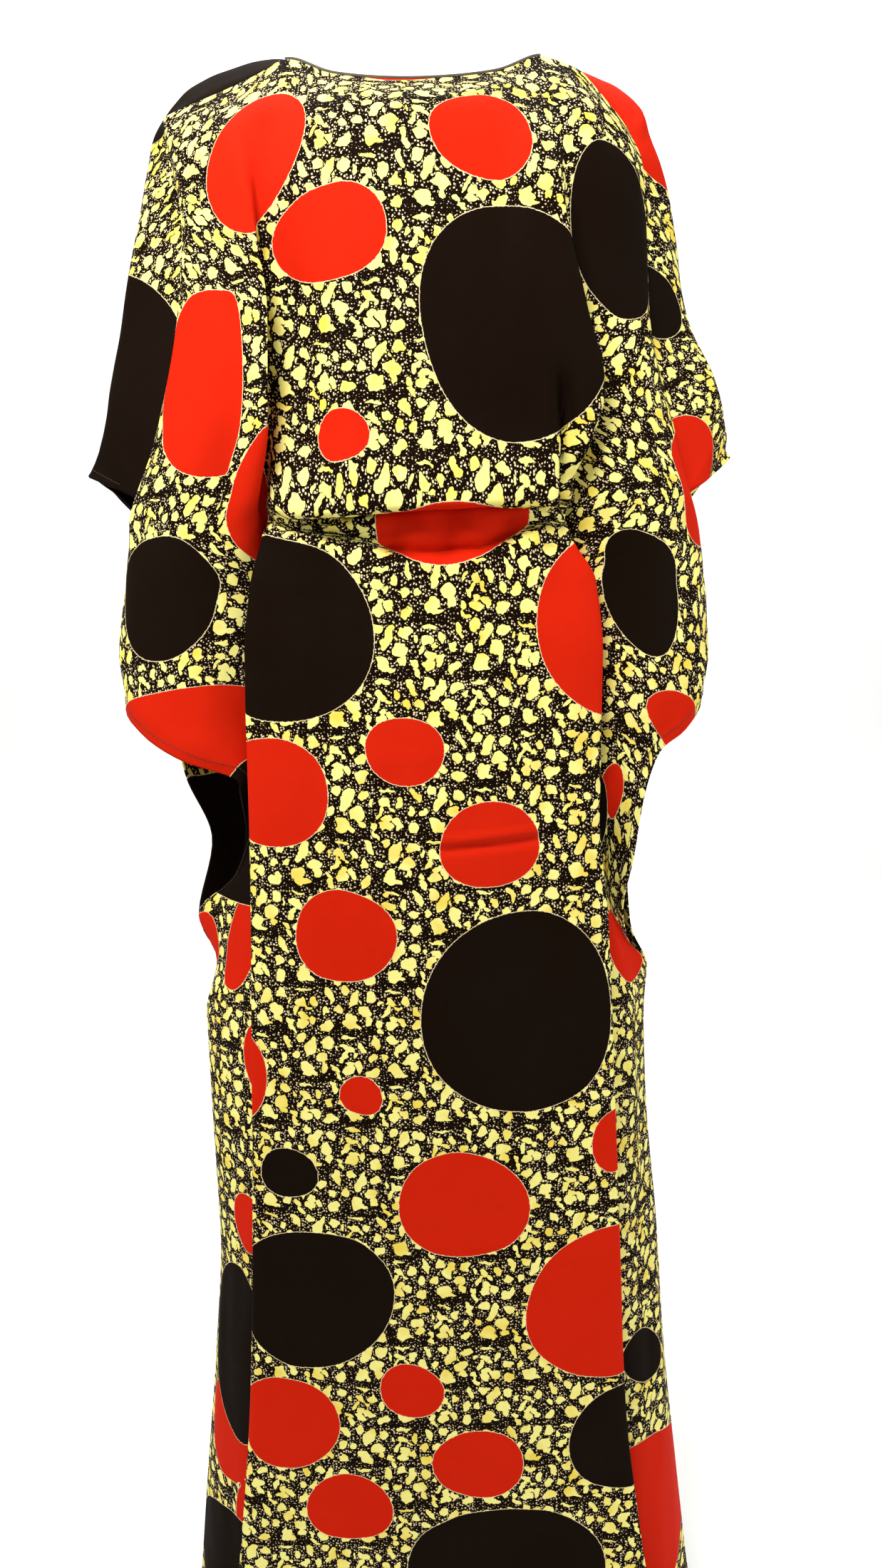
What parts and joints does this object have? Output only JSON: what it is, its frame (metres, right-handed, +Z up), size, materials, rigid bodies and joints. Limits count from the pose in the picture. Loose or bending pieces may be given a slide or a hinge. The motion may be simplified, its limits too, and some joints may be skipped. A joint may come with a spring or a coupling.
{
  "type": "baati dress",
  "caption": "Long loose cotton baati dress with butterfly sleeves cut in one, boat neck, gathered waist and dotted print, in worn form.",
  "frame": {"origin": "middle of the neck, level with the top of the shoulders, where the wearer holds the dress", "axes": "+X is the viewer's right, +Y runs from the front to the back, +Z is up"},
  "size_m": [0.5643, 0.2499, 1.4634],
  "materials": {
    "printed_cotton": "matte woven cotton, printed",
    "binding": "matte bias-cut cotton"
  },
  "bodies": {
    "root": {"front_panel": "printed_cotton", "back_panel": "printed_cotton", "neck_binding": "binding"}
  },
  "joints": []
}
